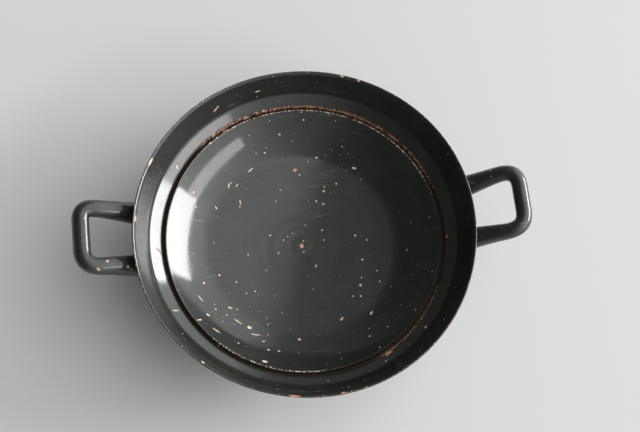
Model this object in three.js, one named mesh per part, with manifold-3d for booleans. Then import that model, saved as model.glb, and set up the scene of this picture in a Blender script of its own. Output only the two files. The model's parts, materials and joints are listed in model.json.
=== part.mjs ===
// A stemless kylix: a wide, shallow drinking cup of fired clay, thrown on the wheel, with an offset lip,
// a ring foot and two squared loop handles luted to its wall, all fired as one piece.
// Millimetres, +Z up, +X along the handles; the origin is on the table, under the middle of the cup.
import * as THREE from 'three';
import { mergeVertices } from 'three/addons/utils/BufferGeometryUtils.js';
import Module from 'manifold-3d';

// Driving dimensions of the turned body
const HEIGHT = 58; // table to the crest of the lip
const RIM_RADIUS = 93; // outer edge of the lip, averaged round the cup
const RIM_THICKNESS = 2.4; // wall just under the crest of the lip, measured level
const RIM_ROUNDING = 1.5; // height of the rounded edge
const LEDGE_DEPTH = 18; // crest of the lip down to the ledge inside
const LEDGE_RADIUS = 78.3; // inner edge of the ledge, beside the groove
const LEDGE_WIDTH = 5.6; // sloping ledge from there to the hollow under the lip
const LEDGE_SLOPE = 36.5;
const LIP_FOOT_WIDTH = 1.7; // small hollow curve from the ledge into the lip
const LIP_FOOT_RISE = 2.5;
const LIP_SLOPE = 63; // steepness of the lip inside
const GROOVE_WIDTH = 2.2; // narrow groove that parts the lip from the bowl
const GROOVE_DEPTH = 1.5;
const BOWL_EDGE_RISE = 0.8; // the bowl's edge stands this much above the ledge
const BOWL_DEPTH = 36.1; // crest of the lip down to the middle of the floor
const DISH_RADIUS = 53.7; // nearly flat part of the floor, ending in a soft turn
const DISH_RISE = 3.6; // how far the floor climbs from its middle to that turn
const OFFSET_RADIUS = 87.6; // where the lip is set off from the bowl outside
const OFFSET_HEIGHT = 41.4;
const FOOT_RADIUS = 42; // widest part of the ring foot
const FOOT_HEIGHT = 11.5; // table up to the scraped line under the bowl
const SCRAPED_LINE_DEPTH = 0.8;
const REST_OUTER_RADIUS = 40; // flat ring that the cup stands on
const REST_INNER_RADIUS = 34.4;
const REST_BEVEL = 1.2;
const RECESS_RADIUS = 28; // nearly flat middle of the hollow under the foot
const RECESS_HEIGHT = 12;
const RECESS_DOME = 0.4;

// Driving dimensions of the handles, which are rolled bars bent square. HANDLE_SIDE is the rise of an arm's
// middle line seen from the side, as (distance from the cup's axis, height): start, two pulls and end.
const HANDLE_SIDE = [[60, 30], [88, 33], [104, 56], [121, 56.5]];
const WALL_LINE = 80; // distance from the axis at which the arms meet the wall
const ARM_SWELL_FROM = 115; // distance from the axis at which the arms begin to swell
const LUTING_FLARE = 2.6; // extra half thickness where the clay is smeared onto the wall
const LUTING_SPREAD = 7;
const BAR_FLATNESS = 0.94; // height of a bar over its width

// For each handle: which end of the cup it is on, the distance from the axis to its outer bar's middle line,
// half the thickness of that bar and how much thicker each half is by the wall; then for both arms y at the
// wall, y of the corner they bend round, and how much of each side of that corner is rounded off.
const HANDLES = [
  {
    side: -1,
    reach: 120.2,
    half: 4.75,
    swell: 1.8,
    far: { wall: 20.5, bend: 21.5, rounding: 7 },
    near: { wall: -8.0, bend: -11.8, rounding: 10 },
  },
  {
    side: 1,
    reach: 120.5,
    half: 4.45,
    swell: 2.3,
    far: { wall: 19.0, bend: 23.5, rounding: 10 },
    near: { wall: -9.1, bend: -11.4, rounding: 11.5 },
  },
];

// The cup left the wheel and the kiln slightly out of round: lobes round the rim, their height and the
// heading of the first one in degrees.
const OUT_OF_ROUND = [
  { lobes: 2, height: 0.7, heading: 13.7 },
  { lobes: 3, height: 0.3, heading: 39.5 },
  { lobes: 4, height: 0.2, heading: -55.5 },
];

// Fineness of the facets
const TURN_SEGMENTS = 72;
const FINE_STEPS = 6;
const COARSE_STEPS = 2;
const HANDLE_STEPS = [10, 6, 3, 6, 10]; // arm, corner, outer bar, corner, arm
const HALF_BAR_SIDES = 6;

const blackGloss = new THREE.MeshStandardMaterial({ color: 0x1d1f1c, roughness: 0.35, metalness: 0 });

const wasm = await Module();
wasm.setup();

// A closed geometry as a solid that can be joined and cut.
function solid(geometry) {
  const bare = geometry.clone();
  bare.deleteAttribute('normal');
  bare.deleteAttribute('uv');
  const merged = mergeVertices(bare, 1e-4);
  const corners = [];
  for (let i = 0; i < merged.index.count; i += 3) {
    const triangle = [0, 1, 2].map((k) => merged.index.getX(i + k));
    if (new Set(triangle).size === 3) corners.push(...triangle);
  }
  return new wasm.Manifold(new wasm.Mesh({
    numProp: 3,
    vertProperties: new Float32Array(merged.attributes.position.array),
    triVerts: new Uint32Array(corners),
  }));
}

// A solid as a geometry again.
function geometryOf(body) {
  const mesh = body.getMesh();
  const geometry = new THREE.BufferGeometry();
  geometry.setAttribute('position', new THREE.BufferAttribute(new Float32Array(mesh.vertProperties), 3));
  geometry.setIndex(new THREE.BufferAttribute(new Uint32Array(mesh.triVerts), 1));
  geometry.computeVertexNormals();
  return geometry;
}

// A half profile in (distance from the axis, height), drawn from point to point.
class Profile {
  constructor(radius, height) {
    this.points = [new THREE.Vector2(radius, height)];
  }

  get end() {
    return this.points.at(-1);
  }

  lineTo(radius, height) {
    this.points.push(new THREE.Vector2(radius, height));
    return this;
  }

  // A curve that leaves and arrives at the given slopes, in degrees above the horizontal.
  curveTo(radius, height, leaving, arriving, steps) {
    const start = this.end.clone();
    const stop = new THREE.Vector2(radius, height);
    const [a, b] = [leaving, arriving].map(THREE.MathUtils.degToRad);
    const across = stop.clone().sub(start);
    const reach = (across.x * Math.sin(b) - across.y * Math.cos(b)) / Math.sin(b - a);
    const pull = new THREE.Vector2(Math.cos(a), Math.sin(a)).multiplyScalar(reach).add(start);
    this.points.push(...new THREE.QuadraticBezierCurve(start, pull, stop).getPoints(steps).slice(1));
    return this;
  }
}

// The outside, from the middle of the underside round the foot and up the wall to the crest of the lip,
// where it closes flat across the cup's mouth.
function outsideProfile() {
  const crest = RIM_RADIUS - RIM_THICKNESS / 2;
  return new Profile(0, RECESS_HEIGHT + RECESS_DOME)
    .lineTo(RECESS_RADIUS, RECESS_HEIGHT)
    .curveTo(REST_INNER_RADIUS - REST_BEVEL, REST_BEVEL, -4, -74, COARSE_STEPS * 2)
    .lineTo(REST_INNER_RADIUS, 0)
    .lineTo(REST_OUTER_RADIUS, 0)
    .curveTo(FOOT_RADIUS, FOOT_HEIGHT / 2, 30, 88, COARSE_STEPS)
    .curveTo(FOOT_RADIUS - 2, FOOT_HEIGHT - SCRAPED_LINE_DEPTH, 92, 130, COARSE_STEPS)
    .lineTo(FOOT_RADIUS - 2 - SCRAPED_LINE_DEPTH, FOOT_HEIGHT)
    .lineTo(FOOT_RADIUS - 2, FOOT_HEIGHT + SCRAPED_LINE_DEPTH)
    .curveTo(OFFSET_RADIUS, OFFSET_HEIGHT, 21, 46, FINE_STEPS)
    .curveTo(RIM_RADIUS, HEIGHT - RIM_ROUNDING, 72, 64, COARSE_STEPS * 2)
    .curveTo(crest, HEIGHT, 75, 178, COARSE_STEPS)
    .lineTo(0, HEIGHT).points;
}

// The hollow inside, from the middle of the floor over the groove and the ledge, up the lip and out of the
// mouth.
function insideProfile() {
  const aboveMouth = 5;
  const ledge = HEIGHT - LEDGE_DEPTH;
  const bowlEdge = LEDGE_RADIUS - GROOVE_WIDTH;
  const ledgeTop = ledge + LEDGE_WIDTH * Math.tan(THREE.MathUtils.degToRad(LEDGE_SLOPE));
  const lipFoot = LEDGE_RADIUS + LEDGE_WIDTH + LIP_FOOT_WIDTH;
  const crest = RIM_RADIUS - RIM_THICKNESS / 2;
  return new Profile(0, HEIGHT - BOWL_DEPTH)
    .curveTo(DISH_RADIUS, HEIGHT - BOWL_DEPTH + DISH_RISE, 0, 7.6, COARSE_STEPS * 2)
    .curveTo(bowlEdge, ledge + BOWL_EDGE_RISE, 27, 41.5, FINE_STEPS)
    .lineTo(LEDGE_RADIUS - GROOVE_WIDTH / 2, ledge - GROOVE_DEPTH)
    .lineTo(LEDGE_RADIUS, ledge)
    .lineTo(LEDGE_RADIUS + LEDGE_WIDTH, ledgeTop)
    .curveTo(lipFoot, ledgeTop + LIP_FOOT_RISE, LEDGE_SLOPE, LIP_SLOPE + 1, COARSE_STEPS)
    .curveTo(RIM_RADIUS - RIM_THICKNESS, HEIGHT - RIM_ROUNDING, LIP_SLOPE + 1, LIP_SLOPE - 1, COARSE_STEPS)
    .curveTo(crest, HEIGHT, LIP_SLOPE - 5, 5, COARSE_STEPS)
    .lineTo(RIM_RADIUS, HEIGHT + aboveMouth)
    .lineTo(0, HEIGHT + aboveMouth).points;
}

// Turns a profile on the wheel, then lets it sag out of round, fully at the rim and not at all at the foot.
function turned(profile) {
  const geometry = new THREE.LatheGeometry(profile, TURN_SEGMENTS);
  geometry.rotateX(Math.PI / 2);
  const place = geometry.attributes.position;
  const point = new THREE.Vector3();
  for (let i = 0; i < place.count; i += 1) {
    point.fromBufferAttribute(place, i);
    const heading = Math.atan2(point.y, point.x);
    const share = THREE.MathUtils.smoothstep(point.z, RECESS_HEIGHT, HEIGHT);
    let swell = 0;
    for (const { lobes, height, heading: first } of OUT_OF_ROUND) {
      swell += height * Math.cos(lobes * (heading - THREE.MathUtils.degToRad(first)));
    }
    const scale = 1 + (swell * share) / RIM_RADIUS;
    place.setXYZ(i, point.x * scale, point.y * scale, point.z);
  }
  return geometry;
}

// Plan of a handle's middle line: out along the far arm, round two corners, and back along the near arm.
function handlePlan({ reach, far, near }) {
  const [start] = HANDLE_SIDE[0];
  const corners = [far, near].map((arm) => {
    const slope = (arm.bend - arm.wall) / (reach - WALL_LINE);
    return {
      root: new THREE.Vector2(start, arm.bend - slope * (reach - start)),
      before: new THREE.Vector2(reach - arm.rounding, arm.bend - slope * arm.rounding),
      corner: new THREE.Vector2(reach, arm.bend),
      after: new THREE.Vector2(reach, arm.bend - Math.sign(arm.bend) * arm.rounding),
    };
  });
  const [out, back] = corners;
  const plan = new THREE.Path();
  plan.moveTo(out.root.x, out.root.y);
  plan.lineTo(out.before.x, out.before.y);
  plan.quadraticCurveTo(out.corner.x, out.corner.y, out.after.x, out.after.y);
  plan.lineTo(back.after.x, back.after.y);
  plan.quadraticCurveTo(back.corner.x, back.corner.y, back.before.x, back.before.y);
  plan.lineTo(back.root.x, back.root.y);
  return plan;
}

// Height of a handle's middle line at a distance from the cup's axis, found by halving.
const handleSide = new THREE.CubicBezierCurve(...HANDLE_SIDE.map(([x, y]) => new THREE.Vector2(x, y)));
function handleHeight(distance) {
  let [low, high] = [0, 1];
  while (high - low > 1e-6) {
    const half = (low + high) / 2;
    if (handleSide.getPoint(half).x < distance) low = half;
    else high = half;
  }
  return handleSide.getPoint(low).y;
}

// Half thickness of a bar at a distance from the cup's axis.
function barHalf({ half, swell }, distance) {
  const run = ARM_SWELL_FROM - WALL_LINE;
  const swollen = swell * THREE.MathUtils.smoothstep(ARM_SWELL_FROM - distance, 0, run);
  const flare = LUTING_FLARE * Math.exp(-(((distance - WALL_LINE) / LUTING_SPREAD) ** 2));
  return half + swollen + flare;
}

// A handle's middle line in space, as a centre and a heading for each step along it.
function handleLine(handle) {
  const line = [];
  handlePlan(handle).curves.forEach((piece, number) => {
    for (let step = line.length === 0 ? 0 : 1; step <= HANDLE_STEPS[number]; step += 1) {
      const share = step / HANDLE_STEPS[number];
      const { x, y } = piece.getPointAt(share);
      const level = piece.getTangentAt(share);
      const nudge = 0.05;
      const climb = (handleHeight(x + nudge * level.x) - handleHeight(x - nudge * level.x)) / (2 * nudge);
      line.push({
        centre: new THREE.Vector3(handle.side * x, y, handleHeight(x)),
        along: new THREE.Vector3(handle.side * level.x, level.y, climb).normalize(),
      });
    }
  });
  return line;
}

// A straight round bar, laid along the handle's middle line and thickened towards the wall.
function handleBar(handle) {
  const line = handleLine(handle);
  const section = new THREE.Shape().absellipse(0, 0, 1, BAR_FLATNESS, 0, Math.PI * 2);
  const bar = new THREE.ExtrudeGeometry(section, {
    depth: line.length - 1,
    steps: line.length - 1,
    curveSegments: HALF_BAR_SIDES,
    bevelEnabled: false,
  });
  const place = bar.attributes.position;
  const point = new THREE.Vector3();
  for (let i = 0; i < place.count; i += 1) {
    point.fromBufferAttribute(place, i);
    const { centre, along } = line[Math.round(point.z)];
    const level = new THREE.Vector3(-along.y, along.x, 0).normalize();
    const upright = new THREE.Vector3().crossVectors(along, level);
    const half = barHalf(handle, Math.abs(centre.x));
    const moved = centre.clone().addScaledVector(level, point.x * half);
    moved.addScaledVector(upright, point.y * half);
    place.setXYZ(i, moved.x, moved.y, moved.z);
  }
  return bar;
}

// Joins the bars to the outside form, then hollows the bowl, which trims the bars flush with the wall
// inside.
function kylixCup() {
  let body = solid(turned(outsideProfile()));
  for (const handle of HANDLES) {
    const bar = solid(handleBar(handle));
    body = body.add(bar);
  }
  const cup = new THREE.Mesh(geometryOf(body.subtract(solid(turned(insideProfile())))), blackGloss);
  cup.name = 'kylix_cup';
  return cup;
}

const group = new THREE.Group();
group.add(kylixCup());
export default group;
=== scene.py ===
"""A stemless kylix: an ancient drinking cup of fired clay under black gloss, on a pale table."""

import json
import math

import bmesh
import bpy
from mathutils import Euler, Matrix, Vector, kdtree, noise

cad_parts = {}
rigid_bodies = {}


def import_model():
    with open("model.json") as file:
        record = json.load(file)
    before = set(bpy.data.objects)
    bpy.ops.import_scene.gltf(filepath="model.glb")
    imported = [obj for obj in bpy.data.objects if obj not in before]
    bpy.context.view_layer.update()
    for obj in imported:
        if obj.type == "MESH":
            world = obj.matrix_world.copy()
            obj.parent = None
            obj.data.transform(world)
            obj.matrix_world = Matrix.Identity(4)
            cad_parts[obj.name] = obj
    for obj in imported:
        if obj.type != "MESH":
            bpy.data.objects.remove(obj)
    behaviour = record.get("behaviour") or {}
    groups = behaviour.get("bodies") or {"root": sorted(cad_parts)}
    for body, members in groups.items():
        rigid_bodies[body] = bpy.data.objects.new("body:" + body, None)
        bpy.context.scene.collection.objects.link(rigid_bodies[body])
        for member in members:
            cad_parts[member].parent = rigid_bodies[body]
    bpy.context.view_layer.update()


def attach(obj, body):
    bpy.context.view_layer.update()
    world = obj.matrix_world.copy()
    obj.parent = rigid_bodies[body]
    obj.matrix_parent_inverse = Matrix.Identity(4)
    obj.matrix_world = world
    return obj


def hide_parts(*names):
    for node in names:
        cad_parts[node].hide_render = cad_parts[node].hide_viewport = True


MM = 0.001

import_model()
bpy.ops.object.select_all(action="DESELECT")


# ---- Camera --------------------------------------------------------------------------------------------
# A long lens looks steeply down into the cup from in front and a little to its left, and is turned about
# its own axis, so that the handles lie across the picture.
LENS = 67.84
CAMERA_DISTANCE = 650 * MM  # to the middle of the mouth
CAMERA_ELEVATION = 72.0
CAMERA_HEADING = -18.6
CAMERA_ROLL = 12.98
MOUTH = Vector((0, 0, 58 * MM))

turn = (
    Matrix.Rotation(math.radians(CAMERA_HEADING), 3, "Z")
    @ Matrix.Rotation(math.radians(90 - CAMERA_ELEVATION), 3, "X")
    @ Matrix.Rotation(math.radians(CAMERA_ROLL), 3, "Z")
)
bpy.ops.object.camera_add(
    location=MOUTH + turn @ Vector((0, 0, CAMERA_DISTANCE)), rotation=turn.to_euler()
)
camera = bpy.context.object
camera.data.lens = LENS
camera.data.shift_x = 0.0210
camera.data.shift_y = 0.0170
camera.data.clip_start = 0.01
bpy.context.scene.camera = camera


# ---- Table and lamps -----------------------------------------------------------------------------------
# A pale sheet lies under the cup. One big soft window of light stands low at the right-hand end of the cup,
# and the rest of the room is dim.
TABLE_SIDE = 6.0

bpy.ops.mesh.primitive_plane_add(size=TABLE_SIDE)
table = bpy.context.object
table.name = "table"
paper = bpy.data.materials.new("pale paper")
paper.use_nodes = True
paper_shader = paper.node_tree.nodes["Principled BSDF"]
paper_shader.inputs["Base Color"].default_value = (0.62, 0.62, 0.61, 1)
paper_shader.inputs["Roughness"].default_value = 0.9
paper_shader.inputs["Specular IOR Level"].default_value = 0.1
table.data.materials.append(paper)


def soft_box(name, heading, elevation, distance, width, height, tilt, power):
    """A rectangular lamp that faces the cup from a heading and elevation in degrees."""
    towards = Vector((1, 0, 0))
    towards.rotate(Euler((0, math.radians(-elevation), math.radians(heading))))
    bpy.ops.object.light_add(type="AREA", location=MOUTH + towards * distance)
    lamp = bpy.context.object
    lamp.name = name
    facing = towards.to_track_quat("Z", "Y").to_matrix() @ Matrix.Rotation(math.radians(tilt), 3, "Z")
    lamp.rotation_euler = facing.to_euler()
    lamp.visible_camera = False
    lamp.data.shape = "RECTANGLE"
    lamp.data.size = width
    lamp.data.size_y = height
    lamp.data.energy = power
    return lamp


soft_box("window", heading=10, elevation=16, distance=2.5, width=1.68, height=0.7, tilt=-18, power=66)
soft_box("second window", heading=-28, elevation=32, distance=2.5, width=1.7, height=0.3, tilt=-14, power=9)

# The room's walls are pale beyond the windows, with a sharp corner on one side and a soft one on the other.
WALL_LIGHT = 1.6
room = bpy.data.worlds.new("room")
room.use_nodes = True
room_nodes, room_links = room.node_tree.nodes, room.node_tree.links
looking = room_nodes.new("ShaderNodeTexCoord")
level = room_nodes.new("ShaderNodeVectorMath")
level.operation = "MULTIPLY"
level.inputs[1].default_value = 1, 1, 0
room_links.new(looking.outputs["Generated"], level.inputs[0])
compass = room_nodes.new("ShaderNodeVectorMath")
compass.operation = "NORMALIZE"
room_links.new(level.outputs["Vector"], compass.inputs[0])
walls = []
for heading, stops in (
    (-25, ((0.08, 0.02), (0.2, 0.1), (0.44, 0.16), (0.54, 1.0))),
    (30, ((0.04, 0.05), (0.35, 0.4), (0.65, 1.0))),
):
    across = room_nodes.new("ShaderNodeVectorMath")
    across.operation = "DOT_PRODUCT"
    facing = math.radians(heading)
    across.inputs[1].default_value = math.cos(facing) / 2, math.sin(facing) / 2, 0
    room_links.new(compass.outputs["Vector"], across.inputs[0])
    middle = room_nodes.new("ShaderNodeMath")
    middle.inputs[1].default_value = 0.5
    room_links.new(across.outputs["Value"], middle.inputs[0])
    ramp = room_nodes.new("ShaderNodeValToRGB")
    ramp.color_ramp.elements.remove(ramp.color_ramp.elements[1])
    for place, tone in stops:
        stop = ramp.color_ramp.elements.new(place)
        stop.color = tone, tone, tone, 1
    ramp.color_ramp.elements.remove(ramp.color_ramp.elements[0])
    room_links.new(middle.outputs["Value"], ramp.inputs["Fac"])
    walls.append(ramp)
both = room_nodes.new("ShaderNodeMath")
both.operation = "MULTIPLY"
room_links.new(walls[0].outputs["Color"], both.inputs[0])
room_links.new(walls[1].outputs["Color"], both.inputs[1])
light = room_nodes.new("ShaderNodeMath")
light.operation = "MULTIPLY_ADD"
light.inputs[1].default_value = WALL_LIGHT
light.inputs[2].default_value = 0.1
room_links.new(both.outputs["Value"], light.inputs[0])
backdrop = room_nodes["Background"]
backdrop.inputs["Color"].default_value = 0.96, 1.0, 0.98, 1
room_links.new(light.outputs["Value"], backdrop.inputs["Strength"])
bpy.context.scene.world = room
bpy.context.scene.view_settings.view_transform = "Standard"


# ---- The turned body -----------------------------------------------------------------------------------
# Bowl, offset lip and ring foot, thrown in one from fine orange clay and turned when leather hard. The
# groove inside was cut with a pointed tool. The profile is drawn from the middle of the underside round the
# foot, up the outside, over the lip and down the inside, and then spun.
HEIGHT = 58 * MM
RIM_RADIUS = 93 * MM
RIM_THICKNESS = 2.4 * MM
OFFSET_RADIUS = 87.6 * MM  # where the lip is set off from the bowl outside
OFFSET_HEIGHT = 41.4 * MM
LIP_SLOPE = 63
LEDGE_SLOPE = 36.5
LEDGE_RADIUS = 78.3 * MM  # inner edge of the ledge, beside the groove
LEDGE_HEIGHT = HEIGHT - 18 * MM
LEDGE_WIDTH = 5.6 * MM
LEDGE_TOP_RADIUS = LEDGE_RADIUS + LEDGE_WIDTH
LEDGE_TOP = LEDGE_HEIGHT + LEDGE_WIDTH * math.tan(math.radians(LEDGE_SLOPE))
GROOVE_WIDTH = 2.2 * MM
GROOVE_DEPTH = 1.5 * MM
ARRIS = 0.35 * MM  # how far the groove's two edges are worn round
BOWL_EDGE = LEDGE_HEIGHT + 0.8 * MM
FLOOR = HEIGHT - 36.1 * MM
DISH_RADIUS = 53.7 * MM  # nearly flat part of the floor, ending in a soft turn
DISH_EDGE = FLOOR + 3.6 * MM
FOOT_RADIUS = 42 * MM
FOOT_HEIGHT = 11.5 * MM
SCRAPED_LINE = 0.8 * MM  # cut where the foot meets the bowl
REST_OUTER_RADIUS = 40 * MM
REST_INNER_RADIUS = 34.4 * MM
RECESS_RADIUS = 28 * MM
RECESS_HEIGHT = 12 * MM
TURN_STEPS = 288

bpy.ops.mesh.primitive_plane_add(size=MM)
cup = bpy.context.object
cup.name = "cup"
bpy.ops.object.mode_set(mode="EDIT")
bpy.ops.mesh.merge(type="CENTER")
pencil = Vector((0, 0))


def line_to(radius, height, steps=1):
    """Draws the profile straight on, in equal steps."""
    stride = (Vector((radius, height)) - pencil) / steps
    for _ in range(steps):
        bpy.ops.mesh.extrude_region_move(
            TRANSFORM_OT_translate={"value": (stride.x, 0, stride.y)}
        )
        pencil.xy += stride


def curve_to(radius, height, leaving, arriving, steps):
    """Draws the profile on in a curve between two slopes, in degrees above the horizontal."""
    start, stop = pencil.copy(), Vector((radius, height))
    a, b = math.radians(leaving), math.radians(arriving)
    across = stop - start
    reach = (across.x * math.sin(b) - across.y * math.cos(b)) / math.sin(b - a)
    pull = start + reach * Vector((math.cos(a), math.sin(a)))
    for step in range(1, steps + 1):
        share = step / steps
        on = (1 - share) ** 2 * start + 2 * share * (1 - share) * pull + share**2 * stop
        line_to(*on)


bpy.ops.transform.translate(value=(0, 0, RECESS_HEIGHT + 0.4 * MM))
pencil.xy = 0, RECESS_HEIGHT + 0.4 * MM
line_to(RECESS_RADIUS, RECESS_HEIGHT, 8)
curve_to(REST_INNER_RADIUS - 1.2 * MM, 1.2 * MM, -4, -74, 8)
curve_to(REST_INNER_RADIUS, 0, -60, -6, 3)
line_to(REST_OUTER_RADIUS, 0, 3)
curve_to(FOOT_RADIUS, FOOT_HEIGHT / 2, 30, 88, 6)
curve_to(FOOT_RADIUS - 2 * MM, FOOT_HEIGHT - SCRAPED_LINE, 92, 130, 5)
line_to(FOOT_RADIUS - 2 * MM - SCRAPED_LINE, FOOT_HEIGHT)
line_to(FOOT_RADIUS - 2 * MM, FOOT_HEIGHT + SCRAPED_LINE)
curve_to(OFFSET_RADIUS, OFFSET_HEIGHT, 21, 46, 34)
curve_to(RIM_RADIUS - 0.05 * MM, HEIGHT - 0.9 * MM, 72, 68, 12)
curve_to(RIM_RADIUS - 0.45 * MM, HEIGHT - 0.1 * MM, 82, 160, 4)
curve_to(RIM_RADIUS - 1 * MM, HEIGHT - 0.3 * MM, 175, 180 + 38, 3)
curve_to(RIM_RADIUS - 1.75 * MM, HEIGHT - 1.1 * MM, 180 + 42, 180 + 52, 3)
curve_to(RIM_RADIUS - RIM_THICKNESS, HEIGHT - 2.2 * MM, 180 + 56, 180 + LIP_SLOPE, 3)
curve_to(LEDGE_TOP_RADIUS + 1.7 * MM, LEDGE_TOP + 2.5 * MM, 180 + LIP_SLOPE - 2, 180 + LIP_SLOPE - 1, 10)
curve_to(LEDGE_TOP_RADIUS, LEDGE_TOP, 180 + LIP_SLOPE + 1, 180 + LEDGE_SLOPE, 5)
line_to(LEDGE_RADIUS + ARRIS, LEDGE_HEIGHT + ARRIS * math.tan(math.radians(LEDGE_SLOPE)), 6)
curve_to(LEDGE_RADIUS, LEDGE_HEIGHT - ARRIS, 180 + LEDGE_SLOPE, 180 + 80, 3)
curve_to(LEDGE_RADIUS - 0.5 * MM, LEDGE_HEIGHT - GROOVE_DEPTH, 180 + 82, 180 + 10, 3)
curve_to(LEDGE_RADIUS - GROOVE_WIDTH + 0.1 * MM, BOWL_EDGE - ARRIS, 175, 180 - 70, 4)
curve_to(LEDGE_RADIUS - GROOVE_WIDTH - ARRIS, BOWL_EDGE - ARRIS / 2, 180 - 72, 180 + 39, 4)
curve_to(DISH_RADIUS + 2.8 * MM, DISH_EDGE + 1.48 * MM, 180 + 41.5, 180 + 28.8, 20)
curve_to(DISH_RADIUS - 3 * MM, DISH_EDGE - 0.39 * MM, 180 + 28.8, 180 + 7.2, 10)
curve_to(0, FLOOR, 180 + 7.2, 180, 34)

bpy.ops.mesh.select_all(action="SELECT")
bpy.ops.mesh.spin(steps=TURN_STEPS, angle=math.tau, center=(0, 0, 0), axis=(0, 0, 1))
bpy.ops.mesh.select_all(action="SELECT")
bpy.ops.mesh.remove_doubles(threshold=0.01 * MM)
bpy.ops.mesh.normals_make_consistent(inside=False)
bpy.ops.object.mode_set(mode="OBJECT")


def smooth(low, high, value):
    share = min(max((value - low) / (high - low), 0), 1)
    return share * share * (3 - 2 * share)


# Lobes round the rim, their height in mm and the heading of the first one in degrees, worked out beforehand by
# a separate program that fitted them to the rim.
OUT_OF_ROUND = (2, 0.7, 13.7), (3, 0.3, 39.5), (4, 0.2, -55.5)


def sag(heading, height):
    """How far out of round the cup is: its radius over the one it was thrown with."""
    swell = sum(
        swelling * math.cos(lobes * (heading - math.radians(first)))
        for lobes, swelling, first in OUT_OF_ROUND
    )
    return 1 + swell * MM * smooth(RECESS_HEIGHT, HEIGHT, height) / RIM_RADIUS


for vertex in cup.data.vertices:
    x, y, z = vertex.co
    radius = math.hypot(x, y)
    scale = sag(math.atan2(y, x), z)
    waver = 0.16 * MM * noise.noise(Vector((x, y, z)) / (34 * MM))
    ridges = 0.035 * MM * noise.noise(Vector((radius, x / 12, y / 12)) / (4.5 * MM))
    above_foot = smooth(0, RECESS_HEIGHT, z)
    vertex.co = x * scale, y * scale, z + (waver + ridges) * above_foot


# ---- The handles ---------------------------------------------------------------------------------------
# Two bars of clay rolled by hand, bent square while soft and luted to the bowl under the lip, one at each
# end. The arms thicken towards the wall, where the clay is smeared on, and no two corners are alike.
BAR_FLATNESS = 0.94  # height of a bar over its width
ARM_RISE = [(60, 30), (88, 33), (104, 56), (121, 56.5)]  # seen from the side: start, two pulls and end
ARM_START = 70  # distance from the axis at which a bar is begun, before it is cut off inside the wall
WALL_LINE = 80  # distance from the axis at which an arm meets the wall
SWELL_FROM = 115
LUTING_FLARE = 2.6  # extra half thickness where the clay is smeared on
LUTING_SPREAD = 7
CORNER_STEPS = 14
OUTER_STEPS = 12
WALL_SLOPE = 56  # of the wall behind the handles
MID_WALL = Vector((84 * MM, 0, 41.5 * MM))  # a point half-way through that wall


def arm_height(distance):
    """Height of a handle's middle line at a distance from the cup's axis, found by halving."""
    low, high = 0.0, 1.0
    for _ in range(24):
        t = (low + high) / 2
        weights = (1 - t) ** 3, 3 * t * (1 - t) ** 2, 3 * t * t * (1 - t), t**3
        reached = sum(w * x for w, (x, _z) in zip(weights, ARM_RISE))
        rise = sum(w * z for w, (_x, z) in zip(weights, ARM_RISE))
        low, high = (t, high) if reached < distance else (low, t)
    return rise


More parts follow.
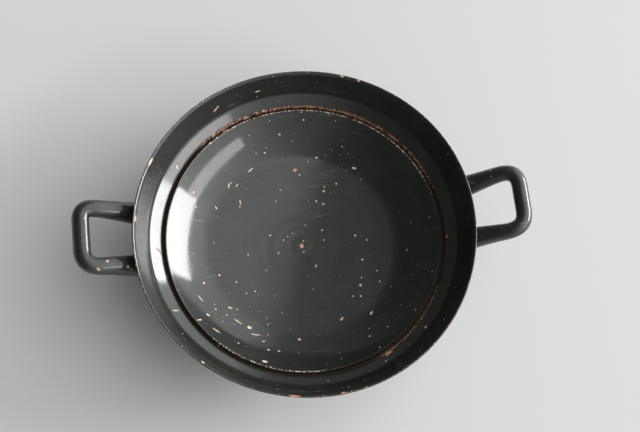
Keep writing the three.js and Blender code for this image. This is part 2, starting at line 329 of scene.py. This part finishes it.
def handle(name, side, reach, half, swell, far, near):
    """A bar bent round two corners.

    far and near give an arm's y at the wall, its y at the corner and how much of each side of that corner is
    rounded off, all in mm, as are reach, half and swell.
    """
    plan = []
    for at_wall, at_corner, rounding in (far, near):
        slope = (at_corner - at_wall) / (reach - WALL_LINE)
        straight = range(ARM_START, int(reach - rounding))
        out = [Vector((x, at_corner - slope * (reach - x))) for x in straight]
        start = Vector((reach - rounding, at_corner - slope * rounding))
        stop = Vector((reach, at_corner - math.copysign(rounding, at_corner)))
        corner = Vector((reach, at_corner))
        for step in range(CORNER_STEPS + 1):
            t = step / CORNER_STEPS
            out.append((1 - t) ** 2 * start + 2 * t * (1 - t) * corner + t * t * stop)
        plan.append(out)
    outer_bar = [plan[0][-1].lerp(plan[1][-1], k / OUTER_STEPS) for k in range(1, OUTER_STEPS)]
    path = plan[0] + outer_bar + plan[1][::-1]

    bpy.ops.curve.primitive_nurbs_path_add()
    bar = bpy.context.object
    bar.name = name
    bar.data.twist_mode = "Z_UP"
    bar.data.splines.clear()
    spline = bar.data.splines.new("POLY")
    spline.points.add(len(path) - 1)
    for point, (x, y) in zip(spline.points, path):
        point.co = side * x * MM, y * MM, arm_height(x) * MM, 1
        flare = LUTING_FLARE * math.exp(-(((x - WALL_LINE) / LUTING_SPREAD) ** 2))
        point.radius = half + swell * smooth(0, SWELL_FROM - WALL_LINE, SWELL_FROM - x) + flare
    bpy.ops.curve.primitive_bezier_circle_add(radius=MM)
    section = bpy.context.object
    section.data.resolution_u = 7
    section.scale.y = BAR_FLATNESS
    bar.data.bevel_mode = "OBJECT"
    bar.data.bevel_object = section
    bar.data.use_fill_caps = True
    bpy.ops.object.select_all(action="DESELECT")
    bar.select_set(True)
    bpy.context.view_layer.objects.active = bar
    bpy.ops.object.convert(target="MESH")
    bpy.data.objects.remove(section)
    bpy.ops.object.mode_set(mode="EDIT")
    bpy.ops.mesh.select_all(action="SELECT")
    bpy.ops.mesh.remove_doubles(threshold=0.01 * MM)
    bpy.ops.object.mode_set(mode="OBJECT")

    # Each arm is cut off half-way through the wall, so that nothing of it shows inside the cup.
    between_arms = (far[0] + near[0]) / 2 * MM
    for at_wall in far[0], near[0]:
        round_axis = Matrix.Rotation(math.atan2(at_wall, side * WALL_LINE), 3, "Z")
        outward = Vector((math.sin(math.radians(WALL_SLOPE)), 0, -math.cos(math.radians(WALL_SLOPE))))
        bpy.ops.object.mode_set(mode="EDIT")
        bpy.ops.mesh.select_all(action="DESELECT")
        sheet = bmesh.from_edit_mesh(bar.data)
        for face in sheet.faces:
            middle = face.calc_center_median()
            this_arm = (middle.y > between_arms) == (at_wall * MM > between_arms)
            face.select = this_arm and abs(middle.x) < 100 * MM
        sheet.select_flush_mode()
        bmesh.update_edit_mesh(bar.data)
        bpy.ops.mesh.bisect(
            plane_co=round_axis @ MID_WALL,
            plane_no=round_axis @ outward,
            use_fill=True,
            clear_inner=True,
        )
        bpy.ops.object.mode_set(mode="OBJECT")
    return bar


left_handle = handle("left handle", -1, 120.2, 4.75, 1.8, far=(20.5, 21.5, 7), near=(-8.0, -11.8, 10))
right_handle = handle("right handle", 1, 120.5, 4.45, 2.3, far=(19.0, 23.5, 10), near=(-9.1, -11.4, 11.5))

bpy.ops.object.select_all(action="DESELECT")
for bar in left_handle, right_handle:
    bpy.context.view_layer.objects.active = bar
    bpy.ops.object.mode_set(mode="EDIT")
    bpy.ops.mesh.select_all(action="SELECT")
    bpy.ops.mesh.remove_doubles(threshold=0.01 * MM)
    bpy.ops.mesh.normals_make_consistent(inside=False)
    bpy.ops.object.mode_set(mode="OBJECT")
    bpy.context.view_layer.objects.active = cup
    luting = cup.modifiers.new("luting", "BOOLEAN")
    luting.operation = "UNION"
    luting.solver = "EXACT"
    luting.object = bar
    bpy.ops.object.modifier_apply(modifier=luting.name)
    bpy.data.objects.remove(bar)


# The wet clay round each join was smoothed with a finger.
bpy.context.view_layer.objects.active = cup
bpy.ops.object.mode_set(mode="EDIT")
bpy.ops.mesh.select_mode(type="VERT")
bpy.ops.mesh.select_all(action="DESELECT")
clay = bmesh.from_edit_mesh(cup.data)
for edge in clay.edges:
    x, y, z = (edge.verts[0].co + edge.verts[1].co) / 2
    if 76 * MM < math.hypot(x, y) < 96 * MM and abs(y) < 34 * MM and 20 * MM < z < 50 * MM:
        if len(edge.link_faces) == 2 and edge.calc_face_angle() > math.radians(24):
            outside = edge.link_faces[0].normal + edge.link_faces[1].normal
            edge.select_set(outside.x * x + outside.y * y > 0)
bmesh.update_edit_mesh(cup.data)
for rounds in 3, 6:
    bpy.ops.mesh.select_more()
    bpy.ops.mesh.vertices_smooth(factor=0.5, repeat=rounds)
bpy.ops.object.mode_set(mode="OBJECT")


# ---- Chips and worn edges ------------------------------------------------------------------------------
# The gloss has flaked off in small chips down to the orange clay, mostly where the cup was struck or
# scratched. Each chip: heading in degrees, distance from the axis, length and width in mm, turn of its length
# away from the run of the wheel in degrees, depth in mm, and how pale the clay in it is. Most of the headings
# and distances were worked out by a separate program and rounded. The rest was judged.
CHIPS = [
    (0, 0, 2.6, 2.2, 0, 0.35, 0.25), (70, 3.2, 1.0, 0.7, 0, 0.15, 0.7),
    (-80, 3.6, 1.1, 0.7, 0, 0.15, 0.6), (89, 45, 2.4, 1.9, 20, 0.3, 0.35),
    (63, 35, 1.3, 1.1, 0, 0.2, 0.9), (58, 28, 1.6, 1.2, 40, 0.2, 0.3),
    (67, 28, 1.2, 1.0, 0, 0.2, 0.9), (6, 31, 1.2, 1.0, 0, 0.2, 0.9),
    (0, 37, 1.0, 0.9, 0, 0.15, 0.9), (-175, 31, 1.1, 0.9, 0, 0.15, 0.9),
    (-62, 14, 1.9, 1.3, 30, 0.15, 0.15), (-168, 14, 1.1, 0.9, 0, 0.15, 0.8),
    (157, 11, 1.2, 1.0, 0, 0.2, 0.8), (156, 19, 1.1, 0.9, 0, 0.15, 0.8),
    (34, 15, 1.1, 1.0, 0, 0.15, 0.9), (140, 10, 0.9, 0.7, 0, 0.1, 0.9),
    (120, 9, 0.9, 0.7, 0, 0.1, 0.9), (11, 13, 1.0, 0.8, 0, 0.1, 0.9),
    (139, 43, 2.8, 1.1, 50, 0.2, 0.6), (142, 42, 1.2, 1.1, 0, 0.2, 0.9),
    (151, 53, 2.2, 1.0, 60, 0.2, 0.7), (118, 53, 3.8, 0.9, 8, 0.2, 0.8),
    (135, 54, 3.4, 0.8, 30, 0.15, 0.8), (131, 51, 2.6, 0.7, 10, 0.15, 0.8),
    (150, 67, 1.6, 1.2, 0, 0.2, 0.7), (156, 63, 1.4, 1.1, 0, 0.2, 0.2),
    (51, 55, 2.6, 1.3, 20, 0.2, 0.7), (56, 42, 1.2, 1.0, 0, 0.15, 0.8),
    (75, 53, 1.4, 1.0, 0, 0.15, 0.9), (80, 50, 1.2, 0.9, 0, 0.15, 0.9),
    (106, 58, 1.1, 1.0, 0, 0.15, 0.9), (96, 65, 1.3, 1.1, 0, 0.15, 0.9),
    (84, 71, 1.2, 1.0, 0, 0.15, 0.9), (86, 42, 1.0, 0.9, 0, 0.15, 0.9),
    (-19, 35, 1.2, 1.1, 0, 0.2, 0.9), (-9, 59, 1.1, 0.9, 0, 0.15, 0.8),
    (-41, 40, 1.5, 1.3, 0, 0.2, 0.9), (-52, 55, 2.6, 1.3, 15, 0.25, 0.9),
    (-69, 48, 2.9, 1.2, 25, 0.2, 0.6), (-35, 38, 0.9, 0.8, 0, 0.1, 0.9),
    (-48, 44, 1.2, 1.0, 0, 0.15, 0.9), (-52, 41, 1.1, 0.9, 0, 0.15, 0.9),
    (-62, 65, 1.3, 1.1, 0, 0.15, 0.9), (-140, 38, 1.2, 1.0, 0, 0.15, 0.8),
    (-155, 43, 1.2, 1.0, 0, 0.15, 0.8), (-164, 50, 1.2, 1.1, 0, 0.2, 0.8),
    (-162, 60, 1.3, 1.1, 0, 0.2, 0.8), (-143, 55, 2.9, 1.2, 35, 0.25, 0.6),
    (-98, 55, 1.7, 1.3, 10, 0.2, 0.9), (-113, 65, 1.4, 1.1, 0, 0.2, 0.9),
    (-108, 64, 1.2, 1.0, 0, 0.15, 0.9), (-127, 69, 1.3, 1.1, 0, 0.2, 0.8),
    (-113, 73, 3.0, 1.7, 12, 0.3, 0.9), (-134, 58, 5.0, 0.8, 5, 0.2, 0.8),
    (-127, 57, 3.2, 2.0, 20, 0.35, 0.8), (-122, 59, 5.4, 0.9, 25, 0.2, 0.7),
    (-117, 61, 2.4, 0.7, 40, 0.15, 0.8), (-155, 66, 5.0, 0.7, 12, 0.12, 0.8),
    (-146, 68, 2.4, 1.2, 12, 0.2, 0.9), (-138, 71, 5.0, 0.7, 12, 0.12, 0.8),
    (-61, 79.4, 5.4, 1.7, 4, 0.45, 0.0), (-64, 82, 1.4, 1.1, 0, 0.2, 0.3),
    (-5, 79.6, 1.3, 1.1, 0, 0.2, 0.0), (-44, 83, 1.6, 1.2, 10, 0.2, 0.9),
    (145, 81, 3.2, 1.2, 65, 0.25, 0.45), (101, 78, 2.0, 1.4, 0, 0.3, 0.3),
    (109, 77.6, 2.6, 1.5, 8, 0.3, 0.8), (120, 76.8, 2.8, 1.7, 8, 0.35, 0.7),
    (125, 78, 2.2, 1.3, 0, 0.3, 0.5), (-154, 82, 4.2, 0.7, 70, 0.12, 0.9),
    (-146, 74, 3.2, 0.7, 70, 0.12, 0.9), (-179, 80.6, 4.6, 0.7, 50, 0.15, 0.5),
    (102, 86.5, 3.4, 0.8, 5, 0.15, 0.8), (119, 86.8, 5.0, 0.8, 25, 0.15, 0.5),
    (71, 91.6, 2.2, 1.2, 0, 0.25, 0.5), (65, 91.8, 1.8, 1.2, 0, 0.25, 0.5),
    (-84, 91.6, 2.4, 1.2, 0, 0.25, 0.1), (-100, 91.8, 6.0, 1.0, 0, 0.2, 0.1),
    (-132, 91.8, 1.8, 1.2, 0, 0.25, 0.9), (151, 92, 5.0, 1.4, 0, 0.3, 0.6),
    (172, 91.8, 3.4, 1.2, 0, 0.2, 0.3), (-173, 112.7, 2.2, 1.5, 20, 0.25, 0.1),
    (-175, 107.4, 1.6, 1.2, 0, 0.2, 0.6), (-173, 97.6, 1.8, 1.3, 0, 0.2, 0.6),
    (173, 117.8, 1.8, 1.2, 0, 0.2, 0.7), (5, 115.4, 1.8, 1.3, 0, 0.2, 0.6),
    (2, 106, 1.6, 1.2, 0, 0.2, 0.7),
]  # fmt: skip
CHIP_CUTS = 3  # cuts of each mesh square where a chip is dented in


def struck_points():
    """Where each chip lies on the upper side of the cup, with the run of the wheel there."""
    for heading, distance, length, width, askew, depth, pale in CHIPS:
        angle = math.radians(heading)
        above = Vector((distance * MM * math.cos(angle), distance * MM * math.sin(angle), 2 * HEIGHT))
        hit, place, up, _face = cup.ray_cast(above, (0, 0, -1))
        if not hit:
            continue
        along = Vector((-math.sin(angle), math.cos(angle), 0))
        along.rotate(Matrix.Rotation(math.radians(askew), 3, up))
        along = (along - along.dot(up) * up).normalized()
        yield place, up, along, length * MM / 2, width * MM / 2, depth * MM, pale


struck = list(struck_points())
bpy.ops.object.mode_set(mode="EDIT")
bpy.ops.mesh.select_mode(type="FACE")
bpy.ops.mesh.select_all(action="DESELECT")
clay = bmesh.from_edit_mesh(cup.data)
squares = kdtree.KDTree(len(clay.faces))
clay.faces.ensure_lookup_table()
for face in clay.faces:
    squares.insert(face.calc_center_median(), face.index)
squares.balance()
for place, up, _along, half_length, _half_width, _depth, _pale in struck:
    for _spot, index, _far in squares.find_range(place, half_length + 1.1 * MM):
        if clay.faces[index].normal.dot(up) > 0.3:
            clay.faces[index].select_set(True)
bmesh.update_edit_mesh(cup.data)
bpy.ops.mesh.subdivide(number_cuts=CHIP_CUTS, ngon=True)
bpy.ops.object.mode_set(mode="OBJECT")

# Wear is kept on the mesh: how bare the clay is, how pale it is, and how much dirt lies in the groove.
wear = cup.data.attributes.new("wear", "FLOAT_VECTOR", "POINT")
corners = kdtree.KDTree(len(cup.data.vertices))
for vertex in cup.data.vertices:
    corners.insert(vertex.co, vertex.index)
    x, y, z = vertex.co
    radius = math.hypot(x, y) / sag(math.atan2(y, x), z)
    heading = math.degrees(math.atan2(y, x))
    inside = z > LEDGE_HEIGHT - 3 * MM and vertex.normal.z > -0.2
    outer_arris = inside * smooth(0.9 * MM, 0.2 * MM, abs(radius - LEDGE_RADIUS - 0.1 * MM))
    inner_arris = inside * smooth(0.8 * MM, 0.2 * MM, abs(radius - LEDGE_RADIUS + GROOVE_WIDTH + 0.1 * MM))
    far_side = smooth(75, 50, abs(heading - 75))
    near_left = smooth(40, 20, abs(heading + 112))
    near_right = smooth(30, 15, abs(heading + 45))
    bare = outer_arris * max(0.52 * far_side, 0.55 * near_right, 0.2)
    bare = max(bare, inner_arris * max(0.5 * far_side, 0.5 * near_left, 0.1))
    dirt = inside * smooth(GROOVE_WIDTH, 0.5 * GROOVE_WIDTH, abs(radius - LEDGE_RADIUS + GROOVE_WIDTH / 2))
    rim = 0.35 * smooth(0.6 * MM, 0.1 * MM, HEIGHT - z) if radius < RIM_RADIUS + MM else 0
    ring = 0.9 * smooth(0.5 * MM, 0.1 * MM, z)
    pale = 0.8 if inner_arris > outer_arris else 0.1
    wear.data[vertex.index].vector = max(bare, rim, ring), pale, dirt
corners.balance()
for place, up, along, half_length, half_width, depth, pale in struck:
    across = up.cross(along)
    for spot, index, _far in corners.find_range(place, half_length * 1.3):
        vertex = cup.data.vertices[index]
        if vertex.normal.dot(up) < 0.3:
            continue
        off = spot - place
        out = math.hypot(off.dot(along) / half_length, off.dot(across) / half_width)
        out += 0.3 * noise.noise(spot / (0.55 * MM))
        vertex.co -= up * depth * smooth(1.0, 0.6, out)
        bare, was_pale, dirt = wear.data[index].vector
        flaked = smooth(1.08, 0.88, out)
        pale_here = was_pale + (pale - was_pale) * smooth(0, 0.3, flaked)
        wear.data[index].vector = max(bare, flaked), pale_here, dirt

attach(cup, "root")
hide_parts("kylix_cup")


# ---- Gloss ---------------------------------------------------------------------------------------------
# Fine clay slip, painted on and fired to a greenish black with a deep shine. It lies thinner in clouds, is
# scored with fine rings from the wheel, speckled with tiny pale pits, scratched by use, and gone at the
# chips, on the worn edges and on the ring that the cup stands on, where the orange clay shows.
gloss = bpy.data.materials.new("black gloss")
gloss.use_nodes = True
nodes, links = gloss.node_tree.nodes, gloss.node_tree.links
slip = nodes["Principled BSDF"]
coords = nodes.new("ShaderNodeTexCoord").outputs["Object"]


def node(kind, inputs=(), **settings):
    """A shader node with its settings, and its inputs linked or set by name or number."""
    made = nodes.new("ShaderNode" + kind)
    for setting, value in settings.items():
        setattr(made, setting, value)
    for key, value in dict(inputs).items():
        if isinstance(value, bpy.types.NodeSocket):
            links.new(value, made.inputs[key])
        else:
            made.inputs[key].default_value = value
    return made


def sums(operation, first, second=0.0, third=0.0):
    return node("Math", {0: first, 1: second, 2: third}, operation=operation).outputs[0]


def between(value, low, high, bottom=0.0, top=1.0):
    """The value eased from bottom to top as it goes from low to high."""
    settings = {"Value": value, "From Min": low, "From Max": high, "To Min": bottom, "To Max": top}
    return node("MapRange", settings, interpolation_type="SMOOTHSTEP").outputs["Result"]


def clouds(size, detail=3.0, roughness=0.55, at=coords):
    settings = {"Vector": at, "Scale": 1 / size, "Detail": detail, "Roughness": roughness}
    return node("TexNoise", settings).outputs["Fac"]


def blend(share, first, second):
    made = node("Mix", {0: share}, data_type="RGBA")
    for key, value in (6, first), (7, second):
        if isinstance(value, bpy.types.NodeSocket):
            links.new(value, made.inputs[key])
        else:
            made.inputs[key].default_value = (*value, 1)
    return made.outputs[2]


place = node("SeparateXYZ", {0: coords})
east, north, up = place.outputs
run = sums("SQRT", sums("ADD", sums("MULTIPLY", east, east), sums("MULTIPLY", north, north)))
bearing = sums("ARCTAN2", north, east)
round_wheel = sums("MULTIPLY", bearing, 1.5 * MM)
wheel = node("CombineXYZ", {"X": run, "Y": round_wheel, "Z": sums("MULTIPLY", up, 0.4)}).outputs[0]
worn = node("SeparateXYZ", {0: node("Attribute", attribute_name="wear").outputs["Vector"]})
bare_here, pale_here, dirt_here = worn.outputs

# Tiny pale pits, at random in little cells, thicker in some parts than in others.
thick = between(clouds(32 * MM, 2), 0.35, 0.65, 0.02, 0.3)
pits = 0.0
for cell, biggest, share in (3.1 * MM, 0.16, 1.0), (1.5 * MM, 0.15, 0.55):
    grain = node("TexVoronoi", {"Vector": coords, "Scale": 1 / cell, "Randomness": 1.0})
    pick = node("SeparateColor", {0: grain.outputs["Color"]})
    size = sums("MULTIPLY", pick.outputs[1], biggest)
    size = sums("ADD", size, 0.03)
    size = sums("MULTIPLY", size, sums("LESS_THAN", pick.outputs[0], sums("MULTIPLY", thick, share)))
    edge = sums("SUBTRACT", size, grain.outputs["Distance"])
    pit = between(edge, -0.01, 0.05)
    pits = sums("MAXIMUM", pit, pits)

# Scratches: long thin streaks in two directions and round the wheel, only in patches.
scored = 0.0
for angle, patch in (0.5, 27 * MM), (-0.9, 33 * MM):
    way = node("Mapping", {"Vector": coords, "Rotation": (0, 0, angle), "Scale": (0.035, 1, 0.3)}).outputs[0]
    streak = between(clouds(0.9 * MM, 1, 0.4, way), 0.735, 0.78)
    where = between(clouds(patch, 1), 0.52, 0.62)
    scored = sums("MAXIMUM", sums("MULTIPLY", streak, where), scored)
rings = clouds(0.55 * MM, 2, 0.6, wheel)
ringed = sums("MULTIPLY", between(rings, 0.66, 0.76), between(clouds(22 * MM, 2), 0.45, 0.6))
scored = sums("MAXIMUM", scored, ringed)

# Edges are bare only in patches, chips wholly.
ragged = clouds(1.3 * MM, 3, 0.65)
bared = between(sums("ADD", bare_here, sums("MULTIPLY", sums("SUBTRACT", ragged, 0.5), 1.6)), 0.45, 0.6)
# Grey scuffs lie thinly everywhere. On the left, from the ledge up, the same grey is laid on thickly as
# painted sheen: a lighter patch where the lip faces the window.
left_lip_sheen = sums("MULTIPLY", between(east, -62 * MM, -80 * MM), between(up, 44 * MM, 49 * MM))
rubbed_and_sheen = sums("ADD", sums("MULTIPLY", left_lip_sheen, 0.5), 0.05)
scuffs_and_sheen = sums("MULTIPLY", between(clouds(0.8 * MM, 3, 0.7), 0.56, 0.72), rubbed_and_sheen)

cloudy = clouds(19 * MM, 5, 0.6)
black = blend(between(cloudy, 0.35, 0.68), (0.0075, 0.0095, 0.0075), (0.0135, 0.0155, 0.0125))
black = blend(between(clouds(41 * MM, 3), 0.58, 0.75, 0, 0.5), black, (0.018, 0.015, 0.009))
black = blend(scuffs_and_sheen, black, (0.16, 0.165, 0.16))
black = blend(sums("MULTIPLY", scored, 0.16), black, (0.5, 0.5, 0.47))
earth = sums("MULTIPLY", dirt_here, between(clouds(2 * MM, 3), 0.3, 0.7, 0.3, 0.9))
black = blend(earth, black, (0.03, 0.019, 0.011))
black = blend(sums("MULTIPLY", pits, 0.8), black, (0.62, 0.57, 0.5))
orange = blend(clouds(0.7 * MM, 3), (0.42, 0.15, 0.06), (0.66, 0.32, 0.17))
cream = blend(clouds(0.6 * MM, 3), (0.62, 0.5, 0.38), (0.85, 0.78, 0.68))
clay_colour = blend(pale_here, orange, cream)
links.new(blend(bared, black, clay_colour), slip.inputs["Base Color"])

dull = sums("MAXIMUM", bared, sums("MULTIPLY", pits, 0.9))
dull = sums("MAXIMUM", dull, sums("MULTIPLY", dirt_here, 0.75))
slip.inputs["Roughness"].default_value = 0.5
slip.inputs["Specular IOR Level"].default_value = 0.35
coat = sums("SUBTRACT", 1.0, dull)
links.new(coat, slip.inputs["Coat Weight"])
blur = between(clouds(9 * MM, 4, 0.6), 0.3, 0.7, 0.07, 0.13)
blur = sums("ADD", blur, sums("MULTIPLY", sums("ADD", scuffs_and_sheen, sums("MULTIPLY", scored, 0.5)), 0.3))
links.new(blur, slip.inputs["Coat Roughness"])

hollows = sums("MULTIPLY", clouds(4.5 * MM, 2), 0.35)
relief = sums("ADD", sums("MULTIPLY", rings, 0.1), hollows)
relief = sums("SUBTRACT", relief, sums("MULTIPLY", sums("MAXIMUM", scored, pits), 0.5))
bump = node("Bump", {"Strength": 0.35, "Distance": 0.03 * MM, "Height": relief}).outputs[0]
links.new(bump, slip.inputs["Normal"])
coat_bump = node("Bump", {"Strength": 0.18, "Distance": 0.03 * MM, "Height": relief}).outputs[0]
links.new(coat_bump, slip.inputs["Coat Normal"])
cup.data.materials.append(gloss)
bpy.ops.object.select_all(action="DESELECT")
cup.select_set(True)
bpy.context.view_layer.objects.active = cup
bpy.ops.object.shade_smooth_by_angle(angle=math.radians(35))
